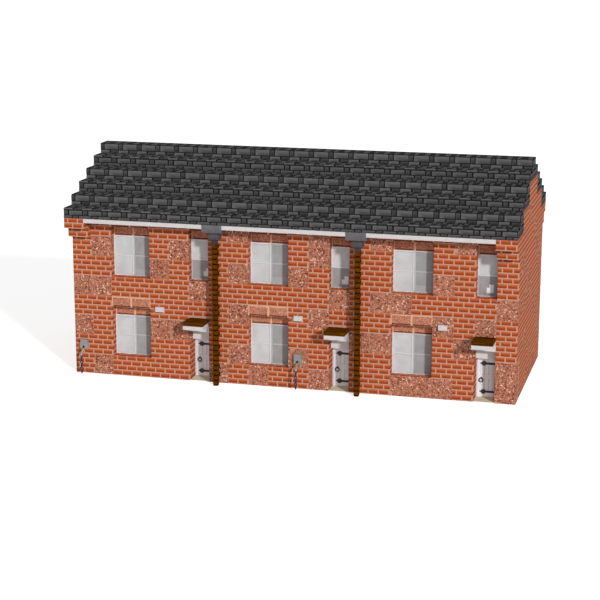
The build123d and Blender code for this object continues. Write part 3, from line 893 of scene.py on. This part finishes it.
def lay_reveals():
    """Bricks that line the openings behind the corner bricks, and the flat bricks of the sills."""
    sill_rows, sill_depth, frame_gap = (0.02, course + brick_foot), 0.03, 0.005
    boxes = []
    for face, side in ((front, -1), (rear, 1)):
        gaps = front_gaps(side)
        openings = [gap for gap in gaps if gap[4]]
        stones = [gap for gap in gaps if not gap[4]]
        for left, right, bottom, top, _ in openings:
            door = bottom == 0
            limit = door_reveal if door else window_reveal
            for foot, number in course_feet(bottom, top):
                deep = head_setback if foot >= top - head_nose_height else limit
                middle = foot + course / 2
                for jamb, inward in ((left, -1), (right, 1)):
                    beside = jamb + inward * reveal_depth
                    if any(gap[0] < beside < gap[1] and gap[2] < middle < gap[3] for gap in stones):
                        continue
                    x_low, x_high = sorted((jamb - inward * brick_relief, beside))
                    corner = turned_corner(number, inward < 0)
                    for near, far in bricks_between(corner, deep, first_joints[number % 2]):
                        y_low, y_high = face.behind(near, far)
                        z_low, z_high = brick_heights(foot)
                        boxes.append(((x_low, y_low, z_low), (x_high, y_high, z_high)))
            if door:
                continue
            for row, near in enumerate(sill_rows):
                y_low, y_high = face.behind(near, min(near + brick_height, limit - frame_gap))
                for start, end in bricks_between(left, right, first_joints[row]):
                    boxes.append(((start, y_low, bottom - sill_depth), (end, y_high, bottom + brick_relief)))
    lay_blocks("reveal_bricks", boxes, brick, "red_brick")


def stone_span(start):
    """Where a granite block of one metre starts and ends, with a joint on either side."""
    return start + stone_joint, start + metre - stone_joint


def lay_granite():
    """Granite facing blocks of one metre among the bricks."""
    boxes = []
    for face, side, blocks in ((front, -1, front_granite), (rear, 1, rear_granite)):
        openings = [gap for gap in front_gaps(side) if gap[4]]
        for foot, cells in blocks.items():
            heights = stone_span(foot)
            for cell in cells:
                left, right = stone_span(row_left + cell)
                depth = wall_thickness - stone_joint
                if cell == 0:
                    left = gable_left - gable_relief
                if cell == last_cell:
                    right = gable_right + gable_relief
                for low, high, bottom, top, _ in openings:
                    beside = bottom < foot + metre and foot < top
                    to_right = beside and abs(right + stone_joint - low) < stone_joint
                    to_left = beside and abs(left - stone_joint - high) < stone_joint
                    if to_right or to_left:
                        depth = (door_reveal if bottom == 0 else window_reveal) - stone_joint
                        right += to_right * (stone_joint + brick_relief)
                        left -= to_left * (stone_joint + brick_relief)
                boxes.append(face.box(left, right, *heights, depth))
                if cell in (0, last_cell) and depth < window_reveal + stone_joint:
                    gable, rest = (left_gable, right_gable)[cell > 0], wall_thickness - stone_joint - depth
                    start = front_y + depth if side < 0 else rear_y - wall_thickness + stone_joint
                    boxes.append(gable.box(start, start + rest, *heights, stone_depth, gable_relief))
    for gable in (left_gable, right_gable):
        for foot, cells in gable_granite.items():
            heights = stone_span(foot)
            for cell in cells:
                boxes.append(gable.box(*stone_span(front_y + cell), *heights, stone_depth, gable_relief))
    lay_blocks("granite_blocks", boxes, facing_granite, "lintel_stone", edge=0.015)


def lay_lintels():
    """Dressed granite blocks on the stepped heads of the windows, one above the other in each metre."""
    block_left, block_right, upper_bed, lower_bed = 0.05, 0.965, 0.045, 0.03
    boxes = []
    for face, side in ((front, -1), (rear, 1)):
        for left, right, bottom, top, is_open in front_gaps(side):
            if is_open or top - bottom != head_height - head_nose_height:
                continue
            if side < 0 and top < sills[0] + window_height + head_height:
                continue
            nose = Face("y", face.plane - face.outward * head_setback, face.outward)
            for number in range(round(right - left)):
                sides = (left + number * metre + block_left, left + number * metre + block_right)
                boxes.append(face.box(*sides, bottom + stone_joint, top - upper_bed, stone_depth))
                low = bottom - head_nose_height
                boxes.append(nose.box(*sides, low + stone_joint, bottom - lower_bed, stone_depth))
    lay_blocks("lintel_blocks", boxes, dressed_granite, "lintel_stone", edge=0.014)


lay_fronts()
lay_gables()
lay_reveals()
lay_granite()
lay_lintels()


# ---------------- slates
def slates_between(rows, start, end, foot, head, origin):
    """Slates that cover a stretch of roof: along, across and tone, the rows being counted from origin."""
    found = []
    for metres in range(math.floor(foot - origin), math.ceil(head - origin)):
        for row_foot, row_head, *slates in rows:
            low, high = max(foot, origin + metres + row_foot), min(head, origin + metres + row_head)
            if high - low < least_slate:
                continue
            for left, right, tone in slates:
                for cell in range(math.floor(start) - 2, math.ceil(end) + 1):
                    a, b = max(start, cell + left), min(end, cell + right)
                    if b - a > least_slate:
                        found.append((a, b, low, high, tone))
    return found


def lay_slates():
    """Slates on the risers, treads and verges of both slopes and of the ridge."""
    chance, shade_spread, row = random.Random(7), 0.07, (row_left, row_right)
    verge_gap, crest_gap = 0.01, 0.005
    verges = ((row_left, row_left + slate_thickness), (row_right - slate_thickness, row_right))
    steps = [(eaves_y + number * tread_depth, roof_low.z + number * riser_height) for number in range(5)]
    for side, name in ((1, "front_slates"), (-1, "rear_slates")):
        boxes, tones = [], []

        def add(low, high, tone):
            """One slate on the front slope, or its mirror image on the rear one."""
            y_low, y_high = sorted((side * low[1], side * high[1]))
            boxes.append(((low[0], y_low, low[2]), (high[0], y_high, high[2])))
            tones.append(min(1.0, max(0.0, tone + chance.uniform(-shade_spread, shade_spread))))

        for number, (y, z) in enumerate(steps + [(ridge_low.y, ridge_high.z - riser_height)]):
            top = z + riser_height
            for left, right, foot, head, tone in slates_between(riser_rows, *row, z, top, roof_low.z):
                add((left, y, foot), (right, y + slate_thickness, head), tone)
            near = y + slate_thickness + slate_relief
            far = y + tread_depth - slate_relief if number < 5 else 0
            for left, right, foot, head, tone in slates_between(tread_rows, *row, near, far, y):
                add((left, foot, top - slate_thickness), (right, head, top), tone)
            end = min(0.0, eaves_y + (number // 2 + 1) * 2 * tread_depth - verge_gap)
            crest = top - slate_thickness - crest_gap
            for foot, head, low, high, tone in slates_between(riser_rows, near, end, z, crest, roof_low.z):
                for x_low, x_high in verges:
                    add((x_low, foot, low), (x_high, head, high), tone)
        lay_blocks(name, boxes, slate, "slate", edge=slate_edge, tones=tones)


def make_slate_bed():
    """What shows between the slates: the CAD roof, drawn in below their faces all over."""
    for node in ("roof_front", "roof_rear", "roof_ridge"):
        bed = nodes[node].copy()
        bed.data = nodes[node].data.copy()
        bed.name = node + "_bed"
        bpy.context.scene.collection.objects.link(bed)
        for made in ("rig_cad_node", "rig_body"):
            if made in bed:
                del bed[made]
        bpy.context.view_layer.objects.active = bed
        bed.select_set(True)
        bpy.ops.object.mode_set(mode="EDIT")
        bpy.ops.mesh.select_all(action="SELECT")
        bpy.ops.mesh.remove_doubles(threshold=0.0005)
        bpy.ops.mesh.dissolve_limited(angle_limit=0.01)
        bpy.ops.mesh.select_all(action="SELECT")
        bpy.ops.transform.shrink_fatten(value=-slate_relief, use_even_offset=True)
        bpy.ops.object.mode_set(mode="OBJECT")
        bed.select_set(False)
        finish_piece(bed, slate_bed, "slate", replaced=(node,))


make_slate_bed()
lay_slates()


# ---------------- windows
def make_windows():
    """Glazing bars and separate panes: clear in front of the blinds, obscured elsewhere."""
    half_bar, proud, lap = 0.065, 0.012, 0.004
    bars, bar_light_tones, clear, obscured, bands = [], [], [], [], []
    for side, near, far in ((-1, glass_low.y, glass_high.y), (1, rear_glass_low.y, rear_glass_high.y)):
        bar_low, bar_high = near - proud, far + proud
        for left, width, sill in sum((window_openings(side, house_left) for house_left in house_lefts), []):
            inner_left, inner_right = left + frame_width, left + width - frame_width
            foot, head = sill + frame_width, sill + window_height - frame_width
            middle_x, middle_z = left + width / 2, sill + window_height / 2
            wide = width == window_width
            columns = [(inner_left, inner_right)]
            if wide:
                columns = [(inner_left, middle_x - half_bar), (middle_x + half_bar, inner_right)]
                for number, edge in enumerate((middle_x - half_bar, middle_x)):
                    bars.append(((edge, bar_low - lap, foot), (edge + half_bar, bar_high + lap, head)))
                    # Lit paint on the left half of the mullion, painted shade on its right half
                    bar_light_tones.append(1.0 - number)
            for number, (pane_left, pane_right) in enumerate(columns):
                rail_low, rail_high = middle_z - half_bar / 2, middle_z + half_bar / 2
                bars.append(((pane_left, bar_low, rail_low), (pane_right, bar_high, rail_high)))
                # Lit paint on the rail of the left column, painted shade on that of the right one
                bar_light_tones.append(1.0 - number)
                for upper, (bottom, top) in enumerate(((foot, rail_low), (rail_high, head))):
                    pane = ((pane_left, near, bottom), (pane_right, far, top))
                    if number == 0 if wide else upper:
                        clear.append(pane)
                    else:
                        obscured.append(pane)
                        bands.append(float(wide and not upper and sill > upper_floor_z))
    lay_blocks("glazing_bars", bars, glazing_paint, "white_paint", edge=0.012, tones=bar_light_tones)
    glass = ("front_glass", "rear_glass")
    lay_blocks("clear_panes", clear, clear_pane, "clear_glass", edge=0.003, replaced=glass)
    lay_blocks("obscured_panes", obscured, obscured_pane, "clear_glass", edge=0.003, tones=bands)


make_windows()


# ---------------- doors, canopies and pipes
def make_door_boards():
    """Boards in the panels of each door leaf."""
    board_joints, stile, hinge_side, gap, sunk, back = (0.40, 0.60), 0.132, 0.056, 0.004, 0.003, 0.03
    for number, left in enumerate(door_lefts, 1):
        low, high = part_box(f"door_leaf_{number}")
        panels = ((0.34, 0.88), (1.07, high.z - low.z - 0.32))
        edges = [left + place for place in board_joints]
        edges = [low.x + stile, *edges, left + door_width - hinge_side - stile]
        boards = [
            ((a + gap, low.y + sunk, low.z + foot + gap), (b - gap, low.y + back, low.z + head - gap))
            for foot, head in panels
            for a, b in zip(edges, edges[1:])
        ]
        name, body = f"door_boards_{number}", f"door_{number}"
        lay_blocks(name, boards, door_boards, "door_timber", edge=0.006, body=body)


def join_parts(parts, name):
    """One object made of several, with its place in its mesh."""
    bpy.ops.object.select_all(action="DESELECT")
    for part in parts:
        part.select_set(True)
    bpy.context.view_layer.objects.active = parts[0]
    bpy.ops.object.join()
    bpy.ops.object.transform_apply(location=True, rotation=True, scale=True)
    made = bpy.context.object
    made.name = made.data.name = name
    return made


def make_strap_bosses():
    """Round boss over the lozenge of each door strap, a little proud of it."""
    inset, from_end, radius, depth, proud = 0.205, 0.115, 0.12, 0.012, 0.004
    for number in (1, 2, 3):
        low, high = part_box(f"door_straps_{number}")
        discs = []
        for z in (low.z + from_end, high.z - from_end):
            place = (low.x + inset, low.y - proud + depth / 2, z)
            bpy.ops.mesh.primitive_cylinder_add(
                vertices=16, radius=radius, depth=depth, location=place, rotation=(math.pi / 2, 0, 0)
            )
            discs.append(bpy.context.object)
        bosses = join_parts(discs, f"strap_bosses_{number}")
        bosses.select_set(False)
        finish_piece(bosses, boss_iron, "black_iron", body=f"door_{number}")


def make_tap_chains():
    """Chain of stout links that hangs from each tap to the ground, each link turned across the one above."""
    wire, width, length, link_count, segments = 0.052, 0.19, 0.27, 5, 16
    low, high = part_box("tap_chains")
    top, middle_y = 0.942, (low.y + high.y) / 2
    bpy.ops.mesh.primitive_torus_add(
        major_radius=(width - wire) / 2,
        minor_radius=wire / 2,
        major_segments=segments,
        minor_segments=8,
        rotation=(math.pi / 2, math.pi / segments, 0),
    )
    pattern = bpy.context.object
    bpy.ops.object.transform_apply(location=True, rotation=True, scale=True)
    for corner in pattern.data.vertices:
        corner.select = corner.co.z > 0
    bpy.ops.object.mode_set(mode="EDIT")
    bpy.ops.transform.translate(value=(0, 0, length - width))
    bpy.ops.object.mode_set(mode="OBJECT")
    links = []
    for x in (low.x + (high.y - low.y) / 2, high.x - (high.y - low.y) / 2):
        for number in range(link_count):
            link = pattern.copy()
            link.data = pattern.data.copy()
            link.location = (x, middle_y, top - length + width / 2 - number * (length - 2 * wire))
            link.rotation_euler.z = 0 if number % 2 else math.pi / 2
            bpy.context.scene.collection.objects.link(link)
            links.append(link)
    bpy.data.objects.remove(pattern)
    chains = join_parts(links, "tap_chain_links")
    bpy.ops.object.shade_smooth()
    chains.select_set(False)
    finish_piece(chains, chain_steel, "dark_steel", replaced=("tap_chains",))


def make_canopy_planks():
    """Planks along the top of each canopy."""
    low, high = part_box("canopy_boards")
    planks, count, gap = [], 5, 0.012
    pitch = (high.y - low.y) / count
    for left in door_lefts:
        for number in range(count):
            start = low.y + number * pitch
            planks.append(((left, start, low.z), (left + door_width, start + pitch - gap, high.z)))
    boards = ("canopy_boards",)
    lay_blocks("canopy_planks", planks, canopy_timber, "dark_timber", edge=0.014, replaced=boards)


def make_pipes():
    """Square downpipes in short lengths with a narrow collar joint between them."""
    low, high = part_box("downpipes")
    size, length, collar, inset, lap = 0.25, 0.25, 0.07, 0.015, 0.01
    boxes = []
    for left in house_lefts[1:]:
        x = left + (wall_thickness - size) / 2
        for y in (low.y, high.y - size):
            for number in range(round((high.z - low.z) / length)):
                foot = number * length
                boxes.append(((x, y, foot + collar), (x + size, y + size, foot + length)))
                far = (x + size - inset, y + size - inset, foot + collar + lap)
                boxes.append(((x + inset, y + inset, foot), far))
    looks = {"edge": 0.012, "tones": [1.0 - number % 2 for number in range(len(boxes))]}
    lay_blocks("pipe_lengths", boxes, pipe_timber, "brown_iron", replaced=("downpipes",), **looks)


make_door_boards()
make_strap_bosses()
make_tap_chains()
make_canopy_planks()
make_pipes()


def make_window_stands():
    """White stepped stand on a dark shelf inside the lower pane of each narrow front window."""
    shelf_foot, step_foot, low_top, high_top = 0.075, 0.19, 0.43, 0.585
    first_step, both_steps, shelf_end = 0.13, 0.34, 0.1
    stand_places = (0.61, 0.51, 0.43)  # from the left edge of each window
    shelves, stands = [], []
    gap = 0.004
    near, far = frames_low.y + 2 * gap, glass_low.y - gap
    for left, place in zip(door_lefts, stand_places):
        end = left + min(place + both_steps, door_width - frame_width - gap)
        start, middle, step_z = left + place, left + place + first_step, sills[1] + step_foot
        shelves.append(((start - shelf_end, near + gap, sills[1] + shelf_foot), (end, far, step_z)))
        stands.append(((start, near, step_z), (middle, far, sills[1] + low_top)))
        stands.append(((middle, near, step_z), (end, far, sills[1] + high_top)))
    lay_blocks("window_shelves", shelves, tap_iron, "white_plastic", edge=0.006)
    lay_blocks("window_stands", stands, china, "white_plastic", edge=0.008)


make_window_stands()

# ---------------- finishes of the CAD nodes
finishes = {
    mortar: ("wall",),
    pointing: ("front_lintels", "rear_lintels"),
    render_paint: ("door_heads",),
    sandstone: ("ground_floors", "door_thresholds"),
    floor_boards: ("upper_floors",),
    white_paint: ("eaves_boards", "canopy_slabs"),
    window_paint: ("front_window_frames", "rear_window_frames"),
    frame_paint: ("door_frames",),
    blind_cloth: ("window_blinds",),
    hopper_iron: ("hopper_heads",),
    tap_iron: ("tap_plates",),
    bracket_iron: ("pipe_brackets",),
    alarm_plastic: ("alarm_boxes",),
    spout_finish: ("tap_spouts",),
    door_paint: ("door_leaf",),
    black_iron: ("door_straps", "door_ring"),
}
for material, names in finishes.items():
    for node, made in nodes.items():
        if any(name in node for name in names):
            set_material(made, material)

# ---------------- floor, light and camera
def seen_directly(tree):
    """One for what the camera sees, also through a pane, and nothing for what only lights the scene."""
    path = add_node(tree, "LightPath").outputs
    through = work_out("MAXIMUM", path["Is Glossy Ray"], path["Is Transmission Ray"])
    return work_out("MAXIMUM", path["Is Camera Ray"], through)


def make_floor():
    """Pale floor that looks white and keeps the building's soft shadow."""
    bpy.ops.mesh.primitive_circle_add(vertices=96, radius=600, fill_type="NGON")
    floor = bpy.context.active_object
    floor.name = "studio_floor"
    made, tree = new_material("studio_floor", 1.0)
    sockets = tree.nodes["Principled BSDF"].inputs
    sockets["Base Color"].default_value = (0.8, 0.8, 0.8, 1.0)
    sockets["Emission Color"].default_value = (1.0, 1.0, 1.0, 1.0)
    fill(sockets["Emission Strength"], times(seen_directly(tree), 0.65))
    set_material(floor, made)


def make_lamp(name, strength, softness, travels):
    """Lamp far away, whose light travels one way."""
    sun = bpy.data.lights.new(name, "SUN")
    sun.energy = strength
    sun.angle = math.radians(softness)
    lamp = bpy.data.objects.new(name, sun)
    lamp.rotation_euler = Vector(travels).to_track_quat("-Z", "Y").to_euler()
    bpy.context.scene.collection.objects.link(lamp)


def make_light():
    """Low soft key light from the front right, weak fills from front and rear, and an even pale sky."""
    make_lamp("key", 2.4, 4.5, (-0.87, 1.0, -0.5))
    make_lamp("front_fill", 0.42, 25.0, (-0.25, 0.94, -0.23))
    make_lamp("rear_fill", 0.42, 25.0, (0.4, -1.0, -0.3))
    world = bpy.data.worlds.new("sky")
    bpy.context.scene.world = world
    world.use_nodes = True
    sky = world.node_tree.nodes["Background"].inputs
    sky["Color"].default_value = (1.0, 1.0, 1.0, 1.0)
    fill(sky["Strength"], ramp(seen_directly(world.node_tree), 0.0, 1.0, 0.3, 1.0))


def make_camera():
    """Camera a long way off to the front right, looking down a little."""
    lens = bpy.data.cameras.new("camera")
    lens.lens = 97.48
    lens.sensor_width = 36
    lens.clip_end = 1500
    camera = bpy.data.objects.new("camera", lens)
    camera.location = (19.919, -77.467, 22.128)
    down, turn, roll = 0.230621, 0.2590826, 0.00134
    aim = Euler((math.pi / 2 - down, 0, turn)).to_matrix() @ Matrix.Rotation(roll, 3, "Z")
    camera.rotation_euler = aim.to_euler()
    bpy.context.scene.collection.objects.link(camera)
    bpy.context.scene.camera = camera


make_floor()
make_light()
make_camera()
bpy.context.scene.view_settings.view_transform = "Standard"
